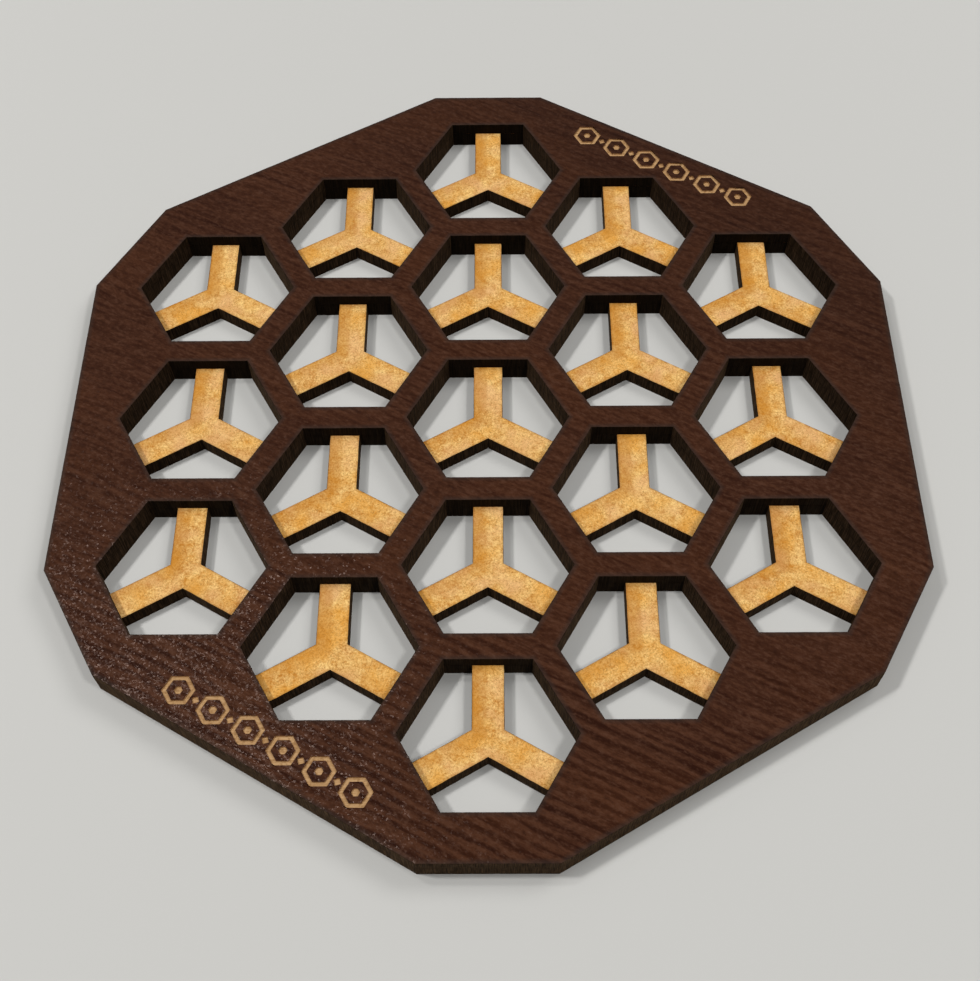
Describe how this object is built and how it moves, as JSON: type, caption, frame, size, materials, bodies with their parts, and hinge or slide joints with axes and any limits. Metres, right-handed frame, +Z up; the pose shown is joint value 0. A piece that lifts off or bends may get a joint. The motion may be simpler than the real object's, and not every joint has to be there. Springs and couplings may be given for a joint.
{
  "type": "hexagonal game board",
  "caption": "Flat twelve-sided game board with a honeycomb of hexagonal tile windows in a dark frame, and a pale three-armed rest across each window.",
  "frame": {"origin": "middle of the underside, below the middle of the middle cell", "axes": "+Z up, out of the playing face; +Y along the columns of cells, towards the far side in the picture, which one arm of every rest points at; +X to the right in the picture"},
  "size_m": [0.1884, 0.2016, 0.0071],
  "materials": {
    "dark_woodgrain": "satin",
    "burnt_edge_board": "matte",
    "glue": "matte",
    "raw_board": "matte"
  },
  "bodies": {
    "root": {"woodgrain_face": "dark_woodgrain", "top_board": "burnt_edge_board", "glue_film": "glue", "base_board": "raw_board"}
  },
  "joints": []
}
